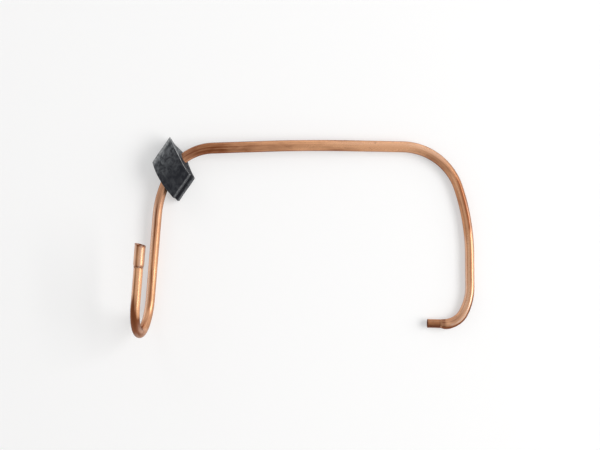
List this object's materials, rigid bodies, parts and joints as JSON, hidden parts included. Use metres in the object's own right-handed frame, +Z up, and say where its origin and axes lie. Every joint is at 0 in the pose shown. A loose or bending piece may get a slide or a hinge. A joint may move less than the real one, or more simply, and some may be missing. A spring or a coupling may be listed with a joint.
{
  "type": "bent copper refrigerant connecting pipe",
  "caption": "Bent copper pipe with a U bend, a socket at one end, a reduced spigot at the other and a split rubber damper block pushed over its corner.",
  "frame": {"origin": "on the table under the middle of the whole part's bounding box", "axes": "+X along the long run towards the spigot side, +Y from the U bend and the spigot towards the long run, +Z up from the table that the pipe lies on"},
  "size_m": [0.3194, 0.1858, 0.0702],
  "materials": {
    "copper": null,
    "braze_alloy": "satin braze alloy",
    "damper_rubber": "matt black butyl rubber with a grey bloom"
  },
  "bodies": {
    "root": {"pipe": "copper", "socket": "copper", "spigot": "copper", "socket_braze": "braze_alloy", "spigot_braze": "braze_alloy", "damper_block": "damper_rubber"}
  },
  "joints": []
}
